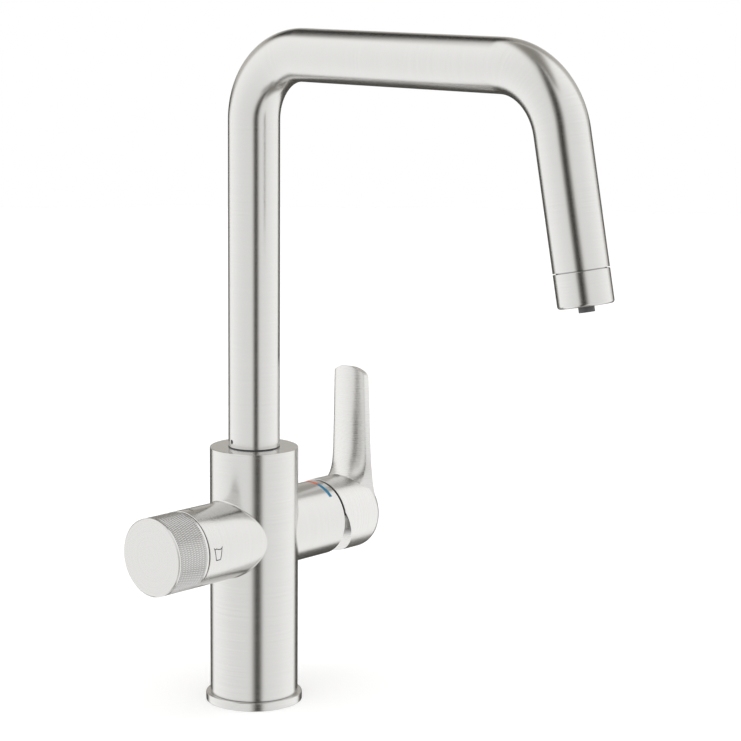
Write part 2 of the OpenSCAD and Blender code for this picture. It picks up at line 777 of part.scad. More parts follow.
// Blade of the lever: front outline, turned inner face and rounded back, crossed
module lever_blade() {
    half = blade_outline();
    heights = concat([0], [for (i = [0:8]) sweep_k + i * sweep_step],
        [for (i = [11, 16]) sweep_k + i * sweep_step]);
    intersection() {
        translate([pivot_x, 0, cross_z]) rotate([90, 0, 90]) linear_extrude(height = 2 * hub_r)
            polygon(concat(half, [for (i = [len(half) - 2:-1:0]) [-half[i][0], half[i][1]]]));
        translate([face_axis_x, 0, cross_z]) rotate_extrude()
            polygon(concat([[0, 0]], [for (k = heights) [face_r(k), k]],
                [[blade_face_r, lever_rise + over], [0, lever_rise + over]]));
        translate([lever_end_x - hub_skin / 2 - blade_back_r, 0, cross_z])
            cylinder(h = lever_rise + over, r = blade_back_r);
    }
}

// Lever: hub with a slanted inner face, and the blade
module lever_handle() {
    steel() difference() {
        union() {
            turned_x() polygon(concat([[lever_face_x, 0], [lever_face_x, hub_r]],
                [for (a = [90:-11.25:0]) [lever_end_x - lever_round + lever_round * cos(a),
                    hub_r - lever_round + lever_round * sin(a)]], [[lever_end_x, 0]]));
            lever_blade();
        }
        translate([slant_x, 0, cross_z]) rotate([0, -hub_slant, 0])
            translate([-hub_r, -2 * hub_r, -2 * hub_r]) cube([hub_r, 4 * hub_r, 4 * hub_r]);
        translate([pivot_x, 0, cross_z]) sphere(r = lever_cavity_r);
        // Square seat of the stem
        translate([pivot_x, -stem_square / 2 - seat_gap, cross_z - stem_square / 2 - seat_gap])
            cube([stem_end_x - pivot_x + seat_gap, stem_square + 2 * seat_gap, stem_square + 2 * seat_gap]);
        // Grub screw's hole, from below
        translate([grub_x, 0, cross_z - hub_r - over])
            cylinder(h = hub_r + over - stem_square / 2, r = lever_screw_r + seat_gap / 2);
    }
}

module lever_grub_screw() {
    color([0.35, 0.35, 0.36]) difference() {
        translate([grub_x, 0, cross_z - stem_square / 2 - seat_gap / 2 - grub_l])
            cylinder(h = grub_l, r = lever_screw_r);
        translate([grub_x, 0, cross_z - stem_square / 2 - grub_l - over])
            cylinder(h = 2.5 + over, r = lever_screw_r / 2, $fn = 6);
    }
}

column_body();
base_ring();
base_seal();
spout_nipple();
nipple_o_rings();
spout_glide_ring();
filter_riser();
filter_valve_body();
filter_valve_seal();
fixed_filter_disc();
cartridge_housing();
cartridge_port_seals();
fixed_mixer_disc();
cartridge_nut();
cartridge_cap();
spout_tube();
spout_sleeve();
spout_lock_screw();
inner_hose();
outlet_head();
head_seal();
aerator_insert();
filter_nozzle();
cartridge_driver();
pivot_pin();
moving_mixer_disc();
disc_carrier();
lever_stem();
lever_handle();
lever_grub_screw();
filter_knob();
knob_insert();
filter_spindle();
moving_filter_disc();
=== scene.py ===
"""Looks of a filter kitchen mixer tap in brushed steel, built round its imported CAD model."""

import math

import bmesh
import bpy
from bpy.props import FloatProperty, FloatVectorProperty, IntProperty, PointerProperty
from bpy.types import Operator, Panel, PropertyGroup
from mathutils import Matrix, Vector


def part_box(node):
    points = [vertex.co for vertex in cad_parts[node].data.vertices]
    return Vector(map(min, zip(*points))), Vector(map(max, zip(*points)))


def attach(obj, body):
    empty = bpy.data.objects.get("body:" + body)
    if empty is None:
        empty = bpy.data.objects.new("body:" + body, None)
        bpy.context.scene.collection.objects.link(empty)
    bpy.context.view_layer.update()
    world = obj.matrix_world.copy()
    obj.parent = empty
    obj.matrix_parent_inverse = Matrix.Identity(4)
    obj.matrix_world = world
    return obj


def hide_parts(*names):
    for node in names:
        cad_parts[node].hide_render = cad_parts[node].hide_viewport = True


bl_info = {
    "name": "Filter mixer tap",
    "version": (1, 0, 0),
    "blender": (4, 5, 0),
    "location": "3D View > Sidebar > Tap",
    "description": "Builds the finished pieces and the studio of a filter kitchen mixer tap",
    "category": "Object",
}

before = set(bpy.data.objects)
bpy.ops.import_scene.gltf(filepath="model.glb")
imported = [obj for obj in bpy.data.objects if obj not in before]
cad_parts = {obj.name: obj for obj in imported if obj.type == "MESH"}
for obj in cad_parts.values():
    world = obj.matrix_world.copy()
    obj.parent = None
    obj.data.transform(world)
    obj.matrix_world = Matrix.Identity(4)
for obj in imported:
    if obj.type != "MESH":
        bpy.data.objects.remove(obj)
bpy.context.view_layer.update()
MM = 0.001
WHITE = (1, 1, 1, 1)

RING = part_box("base_ring")
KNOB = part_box("filter_knob")
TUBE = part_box("spout_tube")
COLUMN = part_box("column_body")
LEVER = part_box("lever_handle")

KNOB_RADIUS = (KNOB[1].z - KNOB[0].z) / 2
TUBE_RADIUS = (TUBE[1].x - TUBE[0].x) / 2
RUN_HEIGHT = TUBE[1].z - TUBE_RADIUS
HUB_RADIUS = (LEVER[1].y - LEVER[0].y) / 2

# The camera that was fitted to the photograph
VIEW_TURN, VIEW_RISE, VIEW_ROLL = (math.radians(a) for a in (-48.924, 9.936, 0.453))
VIEW_PLACE = Vector((-984.2 * MM, -942.0 * MM, 423.9 * MM))
VIEW_LENS, VIEW_SENSOR, VIEW_END = 123.19, 36, 20


# Shader maths

class Flow:
    """A socket of a node tree, with the usual signs as Math nodes."""

    def __init__(self, tree, socket):
        self.tree = tree
        self.socket = socket

    def math(self, operation, *others):
        values = {i + 1: getattr(o, "socket", o) for i, o in enumerate(others)}
        return self.tree.node("ShaderNodeMath", {"operation": operation},
                              {0: self.socket, **values})

    def __add__(self, other):
        return self.math("ADD", other)

    def __mul__(self, other):
        return self.math("MULTIPLY", other)

    def __sub__(self, other):
        return self.math("SUBTRACT", other)

    def __truediv__(self, other):
        return self.math("DIVIDE", other)

    def reflected(self, operation, other):
        return self.tree.node("ShaderNodeMath", {"operation": operation},
                              {0: other, 1: self.socket})

    def __rsub__(self, other):
        return self.reflected("SUBTRACT", other)

    def __rtruediv__(self, other):
        return self.reflected("DIVIDE", other)

    __radd__ = __add__
    __rmul__ = __mul__

    def ramp(self, low, high, to_low=0.0, to_high=1.0):
        """Goes smoothly from to_low at low to to_high at high."""
        return self.tree.node("ShaderNodeMapRange", {"interpolation_type": "SMOOTHSTEP"},
                              {0: self.socket, 1: low, 2: high, 3: to_low, 4: to_high})


class Tree:
    """Makes the nodes of a material or of the world."""

    def __init__(self, node_tree):
        self.nodes = node_tree.nodes
        self.links = node_tree.links
        self.nodes.clear()

    def node(self, kind, settings=None, sockets=None, out=0):
        """Makes a node and returns one of its outputs. Sockets take numbers, colours or Flows."""
        made = self.nodes.new(kind)
        for name, value in (settings or {}).items():
            setattr(made, name, value)
        for name, value in (sockets or {}).items():
            value = getattr(value, "socket", value)
            if isinstance(value, bpy.types.NodeSocket):
                self.links.new(value, made.inputs[name])
            else:
                made.inputs[name].default_value = value
        return Flow(self, made.outputs[out]) if made.outputs else made

    def noise(self, vector, scale, detail=2.0, roughness=0.5):
        """Noise between 0 and 1, with most of it near the middle."""
        return self.node("ShaderNodeTexNoise", None,
                         {"Vector": vector, "Scale": scale, "Detail": detail,
                          "Roughness": roughness})

    def mix(self, factor, first, second):
        """Mixes two colours."""
        return self.node("ShaderNodeMix", {"data_type": "RGBA"},
                         {0: factor, 6: first, 7: second}, out=2)

    def shades(self, factor, colour, darkest):
        """Goes from a darker shade of a colour to the colour itself."""
        return self.mix(factor, (*[c * darkest for c in colour], 1), (*colour, 1))

    def stretched(self, vector, scale):
        """A place that is scaled along each axis by itself."""
        return self.node("ShaderNodeVectorMath", {"operation": "MULTIPLY"}, {0: vector, 1: scale})

    def dot(self, vector, way):
        """How far a vector reaches along a direction."""
        return self.node("ShaderNodeVectorMath", {"operation": "DOT_PRODUCT"},
                         {0: vector, 1: way}, out=1)

    def place(self):
        """Place in the object's own coordinates."""
        return self.node("ShaderNodeTexCoord", None, None, out=3)

    def camera_ray(self):
        """1 for what the camera sees directly, and otherwise 0."""
        return self.node("ShaderNodeLightPath", None, None, out=0)

    def bump(self, height, strength, distance):
        return self.node("ShaderNodeBump", None,
                         {"Height": height, "Strength": strength, "Distance": distance})

    def surface(self, **sockets):
        """Principled shader to the output. Its sockets are given with _ for a space."""
        named = {name.replace("_", " "): value for name, value in sockets.items()}
        shader = self.node("ShaderNodeBsdfPrincipled", None, named)
        self.node("ShaderNodeOutputMaterial", None, {"Surface": shader})


def material(name):
    """A new material and its empty tree."""
    made = bpy.data.materials.new(name)
    made.use_nodes = True
    return made, Tree(made.node_tree)


def brushed_steel(name, looks, follow=True, fine=1.0, rougher=0.0, brighter=1.0):
    """Steel with fine lines round the piece. It reads the brush attribute, or the object's
    own place when a piece has none, and takes painted shade, a darker colour, where its shade
    attribute is above 0."""
    made, tree = material(name)
    if follow:
        lay = tree.node("ShaderNodeAttribute", {"attribute_name": "brush"}, None, out=1)
    else:
        lay = tree.place()
    # Noise that changes fast across the lines (in lines per metre) and slowly along them
    thin_lines, wide_lines = 2400.0 * fine, 900.0 * fine
    thin = tree.noise(tree.stretched(lay, (9.0, 9.0, thin_lines)), 1.0, 2.0)
    wide = tree.noise(tree.stretched(lay, (5.0, 5.0, wide_lines)), 1.0, 1.0)
    lines = thin * 0.8 + wide * 0.2
    tone = lines.ramp(0.3, 0.7)
    shade = [c * brighter for c in looks.steel]
    colour = tree.mix(tone, (*[c * (1 - looks.line_contrast) for c in shade], 1),
                      (*[min(1, c * (1 + looks.line_contrast)) for c in shade], 1))
    if follow:
        # Painted shade: pits and grooves get a darker colour for the shade that falls in them
        pit = tree.node("ShaderNodeAttribute", {"attribute_name": "pit"}, None, out=2)
        colour = tree.mix(pit, colour, (*[c * looks.painted_shade_tone for c in looks.steel], 1))
    middle, spread = looks.roughness + rougher, looks.rough_spread
    tree.surface(Base_Color=colour, Metallic=1.0,
                 Roughness=lines.ramp(0.3, 0.7, middle - spread, middle + spread),
                 Normal=tree.bump(lines, looks.line_depth, 0.00004))
    return made


def plain_metal(name, colour, roughness):
    """Turned metal with faint blotches."""
    made, tree = material(name)
    spot = tree.noise(tree.place(), 320.0, 4.0, 0.6)
    tree.surface(Base_Color=tree.shades(spot.ramp(0.3, 0.7), colour, 0.88), Metallic=1.0,
                 Roughness=spot.ramp(0.3, 0.7, roughness - 0.05, roughness + 0.07),
                 Normal=tree.bump(spot, 0.1, 0.00005))
    return made


def moulded(name, colour, roughness, grain=900.0, depth=0.15):
    """Plastic, rubber or ceramic with a fine skin."""
    made, tree = material(name)
    skin = tree.noise(tree.place(), grain, 3.0, 0.6)
    broad = tree.noise(tree.place(), 60.0)
    tree.surface(Base_Color=tree.shades(broad.ramp(0.35, 0.65), colour, 0.9),
                 Roughness=broad.ramp(0.3, 0.7, roughness - 0.05, roughness + 0.05),
                 Normal=tree.bump(skin, depth, 0.00003))
    return made


def paint(name, colour, roughness=0.5):
    """Thin printed colour with a little unevenness."""
    made, tree = material(name)
    grain = tree.noise(tree.place(), 2500.0)
    tree.surface(Base_Color=tree.shades(grain.ramp(0.35, 0.65), colour, 0.85),
                 Roughness=grain.ramp(0.3, 0.7, roughness - 0.06, roughness + 0.06))
    return made


def finish_named(name, maker, *values, **named):
    """The material of that name, made the first time that it is asked for."""
    found = bpy.data.materials.get(name)
    return found or maker(name, *values, **named)


def steel(follow=True):
    """The tap's brushed steel. Pieces that keep their CAD mesh don't follow its attributes."""
    looks = bpy.context.scene.tap_looks
    if follow:
        return finish_named("brushed steel", brushed_steel, looks)
    return finish_named("brushed steel of small pieces", brushed_steel, looks, follow=False)


# Mesh helpers

def only(kind, geometry):
    """The parts of one kind among what a bmesh operator made."""
    return [g for g in geometry if isinstance(g, kind)]


def turned(profile, segments):
    """Spins a profile of (distance along Z, radius, rounding) about Z and rounds its edges.
    A first or last point on the axis closes the piece there."""
    bm = bmesh.new()
    line = [bm.verts.new((r, 0, z)) for z, r, _ in profile]
    edges = [bm.edges.new(pair) for pair in zip(line, line[1:])]
    if profile[0][1] > 0 and profile[-1][1] > 0:
        edges.append(bm.edges.new((line[-1], line[0])))
    bmesh.ops.spin(bm, geom=line + edges, cent=(0, 0, 0), axis=(0, 0, 1), dvec=(0, 0, 0),
                   angle=math.tau, steps=segments, use_merge=True, use_duplicate=False)
    bmesh.ops.remove_doubles(bm, verts=bm.verts, dist=1e-7)
    for z, r, rounding in profile:
        if rounding <= 0:
            continue
        ring = [e for e in bm.edges if all(abs(v.co.z - z) < 1e-7 and
                abs(v.co.xy.length - r) < 1e-6 for v in e.verts)]
        bmesh.ops.bevel(bm, geom=ring, offset=rounding, offset_type="OFFSET", segments=6,
                        profile=0.5, affect="EDGES", material=-1, clamp_overlap=True)
    bmesh.ops.recalc_face_normals(bm, faces=bm.faces)
    return bm


def grow(bm, loop, place):
    """Extrudes a loop of edges and puts each new vertex at place(vertex). Returns the new
    loop."""
    made = bmesh.ops.extrude_edge_only(bm, edges=loop)["geom"]
    for v in only(bmesh.types.BMVert, made):
        v.co = place(v)
    return only(bmesh.types.BMEdge, made)


def first_loop(bm, radius, segments, height=0.0):
    """A circle of edges about Z, whose vertices keep their angle in the layer "turn"."""
    turn = bm.verts.layers.float.new("turn")
    made = bmesh.ops.create_circle(bm, cap_ends=False, radius=radius, segments=segments,
                                   matrix=Matrix.Translation((0, 0, height)))
    for v in made["verts"]:
        v[turn] = math.atan2(v.co.y, v.co.x)
    return list({e for v in made["verts"] for e in v.link_edges}), turn


def close_loop(bm, loop):
    """Closes a flat loop with triangles round its middle."""
    corners = list({v for e in loop for v in e.verts})
    middle = sum((v.co for v in corners), Vector()) / len(corners)
    grow(bm, loop, lambda v: middle)
    bmesh.ops.remove_doubles(bm, verts=bm.verts, dist=1e-8)


def face_outwards(bm, way):
    """Turns each face of a thin print towards way(face)."""
    bmesh.ops.recalc_face_normals(bm, faces=bm.faces)
    for f in bm.faces:
        if f.normal.dot(way(f)) < 0:
            f.normal_flip()


def brush_lines(bm, lay=lambda co: (co.x, co.y, co.z - co.xy.length)):
    """Stores each point's place for the brushed lines, which lie across its third value."""
    layer = bm.verts.layers.float_vector.new("brush")
    for v in bm.verts:
        v[layer] = lay(v.co)


def lay_along_x(bm, cross):
    """Turns a piece made along Z to lie along X at the height of the cross axis."""
    bmesh.ops.transform(bm, verts=bm.verts, matrix=Matrix.Translation((0, 0, cross))
                        @ Matrix.Rotation(math.radians(90), 4, "Y"))


def object_of(bm, name, finish):
    """Turns a bmesh into an object of the scene."""
    mesh = bpy.data.meshes.new(name)
    bm.normal_update()
    bm.to_mesh(mesh)
    bm.free()
    mesh.materials.append(finish)
    piece = bpy.data.objects.new(name, mesh)
    bpy.context.scene.collection.objects.link(piece)
    return piece


def finish_piece(bm, name, body, finish, replaced=(), sharp=32.0, weighted=True):
    """Makes the object of a piece, with its finish, on its CAD body."""
    piece = object_of(bm, name, finish)
    piece.data.shade_smooth()
    piece.data.set_sharp_from_angle(angle=math.radians(sharp))
    if weighted:
        even = piece.modifiers.new("Even shading", "WEIGHTED_NORMAL")
        even.keep_sharp = True
    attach(piece, body)
    if replaced:
        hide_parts(*replaced)


# Values that a user would change

class TapSizes(PropertyGroup):
    column_radius: FloatProperty(name="Column radius", description="Radius of the column",
                                 default=COLUMN[1].y, unit="LENGTH")
    column_top: FloatProperty(name="Column top", description="Height of the column's top",
                              default=COLUMN[1].z, unit="LENGTH")
    column_bevel: FloatProperty(name="Column bevel", description="Bevel of the column's top edge",
                                default=0.5 * MM, unit="LENGTH")
    cross: FloatProperty(name="Cross axis", description="Height of the knob's and lever's axis",
                         default=(KNOB[0].z + KNOB[1].z) / 2, unit="LENGTH")
    fillet: FloatProperty(name="Fillet", description="Fillet where the side arms meet the column",
                          default=0.9 * MM, unit="LENGTH")
    stub_reach: FloatProperty(name="Stub reach", description="Distance of the left arm's end",
                              default=-COLUMN[0].x, unit="LENGTH")
    housing_radius: FloatProperty(name="Housing radius",
                                  description="Radius of the cartridge housing",
                                  default=20.95 * MM, unit="LENGTH")
    housing_reach: FloatProperty(name="Housing reach", description="Distance of the housing's end",
                                 default=COLUMN[1].x, unit="LENGTH")
    knurl_count: IntProperty(name="Knurl count", description="Diamonds round the knob",
                             default=116)
    knurl_rows: IntProperty(name="Knurl rows", description="Half diamonds along the knob",
                            default=11)
    knurl_depth: FloatProperty(name="Knurl depth", description="Depth of the knurl",
                               default=0.3 * MM, unit="LENGTH")
    rear_bend: FloatProperty(name="Rear bend", description="Bend radius over the column",
                             default=35.9 * MM, unit="LENGTH")
    front_bend: FloatProperty(name="Front bend", description="Bend radius over the outlet",
                              default=38.1 * MM, unit="LENGTH")
    run: FloatProperty(name="Level run", description="Straight level part of the spout",
                       default=132.5 * MM, unit="LENGTH")
    leg: FloatProperty(name="Down leg", description="Straight down part of the spout",
                       default=67 * MM, unit="LENGTH")
    slant: FloatProperty(name="Leg slant", description="Outward slant of the down leg",
                         default=math.radians(11.3), unit="ROTATION")
    wall: FloatProperty(name="Tube wall", description="Wall of the spout tube",
                        default=1.5 * MM, unit="LENGTH")
    head: FloatProperty(name="Outlet head", description="Length of the outlet head",
                        default=17.6 * MM, unit="LENGTH")
    blade_depth: FloatProperty(name="Blade depth",
                               description="Greatest thickness of the lever's blade",
                               default=7.6 * MM, unit="LENGTH")
    blade_face: FloatProperty(name="Blade face", description="Radius of the blade's inner face",
                              default=27 * MM, unit="LENGTH")
    hub_rounding: FloatProperty(name="Hub rounding", description="Rounding of the lever's hub",
                                default=5 * MM, unit="LENGTH")
    mark_width: FloatProperty(name="Mark width", description="Line width of the printed marks",
                              default=0.5 * MM, unit="LENGTH")


class TapLooks(PropertyGroup):
    steel: FloatVectorProperty(name="Steel", description="Colour of the brushed steel",
                               default=(0.665, 0.66, 0.645), subtype="COLOR", size=3)
    roughness: FloatProperty(name="Roughness", description="Mean roughness of the steel",
                             default=0.22)
    rough_spread: FloatProperty(name="Roughness spread",
                                description="How much lines differ in gloss", default=0.03)
    line_contrast: FloatProperty(name="Line contrast",
                                 description="How much lines differ in tone", default=0.03)
    line_depth: FloatProperty(name="Line depth", description="Strength of the brushed lines",
                              default=0.08)
    # Painted shade: how dark pits and grooves are coloured, for the shade that falls in them
    painted_shade_tone: FloatProperty(name="Pit shade",
                             description="Tone of pits and grooves against the steel",
                             default=0.58)
    lever_rougher: FloatProperty(name="Lever roughness",
                                 description="Added roughness of the lever", default=0.07)
    lever_brighter: FloatProperty(name="Lever brightness",
                                  description="Tone of the lever against the steel",
                                  default=1.07)
    hot: FloatVectorProperty(name="Hot", description="Colour of the hot mark",
                             default=(0.8, 0.17, 0.08), subtype="COLOR", size=3)
    cold: FloatVectorProperty(name="Cold", description="Colour of the cold mark",
                              default=(0.015, 0.2, 0.36), subtype="COLOR", size=3)
    # Also used as the painted shade of the locking screw's hole
    sign: FloatVectorProperty(name="Sign", description="Colour of the tumbler sign",
                              default=(0.05, 0.05, 0.05), subtype="COLOR", size=3)


class StudioLooks(PropertyGroup):
    level: FloatProperty(name="Studio level", description="Brightness of the studio's walls",
                         default=1.0)
    floor: FloatVectorProperty(name="Floor", description="Colour of the floor",
                               default=(0.9, 0.9, 0.9), subtype="COLOR", size=3)
    strip_away: FloatProperty(name="Strip distance", description="Distance of the dark strip",
                              default=0.5, unit="LENGTH")
    strip_aside: FloatProperty(name="Strip aside",
                               description="How far the dark strip stands to the right",
                               default=0.1, unit="LENGTH")
    strip_width: FloatProperty(name="Strip width", description="Width of the dark strip",
                               default=0.19, unit="LENGTH")
    warmth: FloatVectorProperty(name="Warmth", description="Tint of the studio's dark parts",
                                default=(1.0, 0.94, 0.83), subtype="COLOR", size=3)
    lift: FloatProperty(name="Floor lift",
                        description="White added to the floor that the camera sees",
                        default=0.25)


# Pieces

class TAP_OT_column(Operator):
    """Column with its two side arms, each with a small fillet where it meets the column"""
    bl_idname = "tap.column"
    bl_label = "Column"

    def arm(self, sizes, radius, reach, side, bore):
        """An arm along X that opens in a fillet onto the column. side is -1 or 1."""
        column, fillet, cross = sizes.column_radius, sizes.fillet, sizes.cross
        lip, mouth, sunk, segments = 0.25 * MM, 2.2 * MM, 0.02 * MM, 160
        ends = [(reach - mouth, bore), (reach, bore), (reach, radius - lip), (reach - lip, radius)]
        steps, inward = 6, 0.9
        last = len(ends) + steps + 1
        rings = []
        bm = bmesh.new()
        for row in range(last + 1):
            made = bmesh.ops.create_circle(bm, cap_ends=False, radius=radius, segments=segments)
            for v in made["verts"]:
                angle = math.atan2(v.co.y, v.co.x)
                y, z = math.cos(angle), math.sin(angle)
                if row < len(ends):
                    x, r = ends[row]
                    v.co = (side * x, r * y, cross + r * z)
                    continue
                # The fillet's centre lies off both the arm and the column by its radius
                centre = Vector((0, (radius + fillet) * y, (radius + fillet) * z))
                centre.x = side * math.sqrt((column + fillet) ** 2 - centre.y ** 2)
                on_arm = Vector((0, -y, -z))
                on_column = -Vector((centre.x, centre.y, 0)).normalized()
                share = min(1.0, (row - len(ends)) / steps)
                turn = on_arm.slerp(on_column, share)
                place = centre + turn * (fillet + (sunk if share >= 1 else 0))
                if row == last:
                    place.x *= inward
                v.co = place + Vector((0, 0, cross))
            rings.append([e for e in bm.edges if all(v in made["verts"] for v in e.verts)])
        for first, second in zip(rings, rings[1:]):
            bmesh.ops.bridge_loops(bm, edges=first + second)
        bmesh.ops.recalc_face_normals(bm, faces=bm.faces)
        # A shift by side gives the two arms different lines
        brush_lines(bm, lambda co: (co.z - cross, co.y, abs(co.x)
                                    - math.hypot(co.y, co.z - cross) + 0.5 * side))
        return bm

    def execute(self, context):
        sizes = context.scene.tap_sizes
        radius, top = sizes.column_radius, sizes.column_top
        foot, foot_bevel = RING[1].z + 0.1 * MM, 0.15 * MM
        bore, bore_depth = 12 * MM, 24 * MM
        bm = turned([(foot, 0, 0), (foot, radius, foot_bevel), (top, radius, sizes.column_bevel),
                     (top, bore, 0), (top - bore_depth, bore, 0), (top - bore_depth, 0, 0)], 192)
        brush_lines(bm)
        finish_piece(bm, "column_barrel", "body", steel(), ["column_body"])
        left = self.arm(sizes, KNOB_RADIUS, sizes.stub_reach, -1, 13.2 * MM)
        right = self.arm(sizes, sizes.housing_radius, sizes.housing_reach, 1, 19 * MM)
        for name, made in (("left_arm", left), ("cartridge_arm", right)):
            finish_piece(made, name, "body", steel(), ["column_body"])
        return {"FINISHED"}


class TAP_OT_base_ring(Operator):
    """Ring at the foot of the column"""
    bl_idname = "tap.base_ring"
    bl_label = "Base ring"

    def execute(self, context):
        outer, height = RING[1].x, RING[1].z
        foot_bevel, top_bevel, overlap = 0.4 * MM, 0.75 * MM, 2.1 * MM
        inner = context.scene.tap_sizes.column_radius - overlap
        bm = turned([(0, inner, 0), (0, outer, foot_bevel), (height, outer, top_bevel),
                     (height, inner, 0)], 192)
        brush_lines(bm)
        finish_piece(bm, "foot_ring", "body", steel(), ["base_ring"])
        return {"FINISHED"}


class TAP_OT_spout(Operator):
    """Bent spout tube, hollow, with a dark disc of painted shade where its locking screw's hole is
    """
    bl_idname = "tap.spout"
    bl_label = "Spout"

    def skin(self, bm, sizes, radius, foot):
        """Sweeps a circle along the spout. Returns its first and last loops."""
        made = bmesh.ops.create_circle(bm, cap_ends=False, radius=radius, segments=112,
                                       matrix=Matrix.Translation((0, 0, foot)))
        first = list({e for v in made["verts"] for e in v.link_edges})

        def straight(loop, move):
            moved = bmesh.ops.extrude_edge_only(bm, edges=loop)["geom"]
            bmesh.ops.translate(bm, vec=move, verts=only(bmesh.types.BMVert, moved))
            return only(bmesh.types.BMEdge, moved)

        def bend(loop, centre, angle, steps):
            corners = list({v for e in loop for v in e.verts})
            swept = bmesh.ops.spin(bm, geom=corners + loop, cent=centre, axis=(1, 0, 0),
                                   dvec=(0, 0, 0), angle=angle, steps=steps,
                                   use_merge=False, use_duplicate=False)["geom_last"]
            return only(bmesh.types.BMEdge, swept)

        low = RUN_HEIGHT - sizes.rear_bend
        loop = straight(first, (0, 0, low - foot))
        loop = bend(loop, (0, -sizes.rear_bend, low), math.radians(90), 36)
        loop = straight(loop, (0, -sizes.run, 0))
        centre = (0, -sizes.rear_bend - sizes.run, RUN_HEIGHT - sizes.front_bend)
        loop = bend(loop, centre, math.radians(90) - sizes.slant, 34)
        way = Vector((0, -math.sin(sizes.slant), -math.cos(sizes.slant)))
        return first, straight(loop, way * sizes.leg)

    def along(self, sizes, place):
        """Length along the spout's centre line and the place in its cross-section."""
        low = RUN_HEIGHT - sizes.rear_bend
        if place.y > -sizes.rear_bend and place.z <= low:
            return place.z, place.y
        if place.y > -sizes.rear_bend:
            y, z = place.y + sizes.rear_bend, place.z - low
            return low + sizes.rear_bend * math.atan2(z, y), math.hypot(y, z) - sizes.rear_bend
        start = low + sizes.rear_bend * math.pi / 2
        if place.y > -sizes.rear_bend - sizes.run:
            return start - sizes.rear_bend - place.y, place.z - RUN_HEIGHT
        y = -(place.y + sizes.rear_bend + sizes.run)
        z = place.z - RUN_HEIGHT + sizes.front_bend
        angle = math.atan2(y, z)
        last = math.pi / 2 - sizes.slant
        start += sizes.run
        if angle < last:
            return start + sizes.front_bend * angle, math.hypot(y, z) - sizes.front_bend
        away = y * math.sin(sizes.slant) - z * math.cos(sizes.slant)
        out = y * math.cos(sizes.slant) + z * math.sin(sizes.slant) - sizes.front_bend
        return start + sizes.front_bend * last + away, out

    def screw_hole_shade(self, context):
        """Dark disc laid onto the tube's back left, where the locking screw's hole is not cut:
        painted shade of the hole.
        """
        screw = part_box("spout_lock_screw")
        middle = (Vector(screw[0]) + Vector(screw[1])) / 2
        turn = math.atan2(middle.y, middle.x)
        lifted, mouth = TUBE_RADIUS + 0.02 * MM, 1.25 * MM
        bm = bmesh.new()
        bmesh.ops.create_circle(bm, cap_ends=True, cap_tris=True, radius=mouth, segments=32)
        for v in bm.verts:
            angle = turn + v.co.x / TUBE_RADIUS
            v.co = (lifted * math.cos(angle), lifted * math.sin(angle), middle.z + v.co.y)
        face_outwards(bm, lambda f: Vector((math.cos(turn), math.sin(turn), 0)))
        # The disc takes the print's dark grey as painted shade of the hole
        dark = finish_named("sign grey", paint, tuple(context.scene.tap_looks.sign))
        finish_piece(bm, "lock_screw_hole_shade", "spout", dark, weighted=False)

    def execute(self, context):
        sizes = context.scene.tap_sizes
        glide_gap = 0.6 * MM
        foot = sizes.column_top + glide_gap
        bm = bmesh.new()
        outer = self.skin(bm, sizes, TUBE_RADIUS, foot)
        inner = self.skin(bm, sizes, TUBE_RADIUS - sizes.wall, foot)
        for first, second in zip(outer, inner):
            bmesh.ops.bridge_loops(bm, edges=first + second)
        bmesh.ops.recalc_face_normals(bm, faces=bm.faces)

        def lay(co):
            length, side = self.along(sizes, co)
            return co.x, side, length

        brush_lines(bm, lay)
        finish_piece(bm, "bent_spout", "spout", steel(), ["spout_tube"])
        self.screw_hole_shade(context)
        return {"FINISHED"}


class TAP_OT_outlet(Operator):
    """Outlet head with a groove above it"""
    bl_idname = "tap.outlet"
    bl_label = "Outlet head"

    def execute(self, context):
        sizes = context.scene.tap_sizes
        groove, neck, neck_length = 0.55 * MM, TUBE_RADIUS - sizes.wall - 0.1 * MM, 9 * MM
        mouth, mouth_depth, throat = 11.1 * MM, 6.2 * MM, 9.8 * MM
        bm = turned([(-sizes.head, mouth, 0.2 * MM), (-sizes.head, TUBE_RADIUS, 1.4 * MM),
                     (-groove, TUBE_RADIUS, 0.25 * MM), (-groove, neck, 0),
                     (neck_length, neck, 0), (neck_length, throat, 0),
                     (-mouth_depth, throat, 0), (-mouth_depth, mouth, 0)], 144)
        brush_lines(bm, lambda co: (co.x, co.y, co.z + co.xy.length * 0.3))
        # Painted shade: the neck is coloured darker where it shows in the groove, for the shade
        # there
        pit = bm.verts.layers.float.new("pit")
        for v in bm.verts:
            if v.co.z > -1 * MM and v.co.xy.length < TUBE_RADIUS - sizes.wall:
                v[pit] = 1.0
        y = -sizes.rear_bend - sizes.run - sizes.front_bend * math.cos(sizes.slant)
        z = RUN_HEIGHT - sizes.front_bend * (1 - math.sin(sizes.slant))
        way = Vector((0, -math.sin(sizes.slant), -math.cos(sizes.slant)))
        seat = Vector((0, y, z)) + way * sizes.leg
        bmesh.ops.transform(bm, verts=bm.verts, matrix=Matrix.Translation(seat)
                            @ Matrix.Rotation(-sizes.slant, 4, "X"))
        finish_piece(bm, "outlet_sleeve", "spout", steel(), ["outlet_head"])
        return {"FINISHED"}


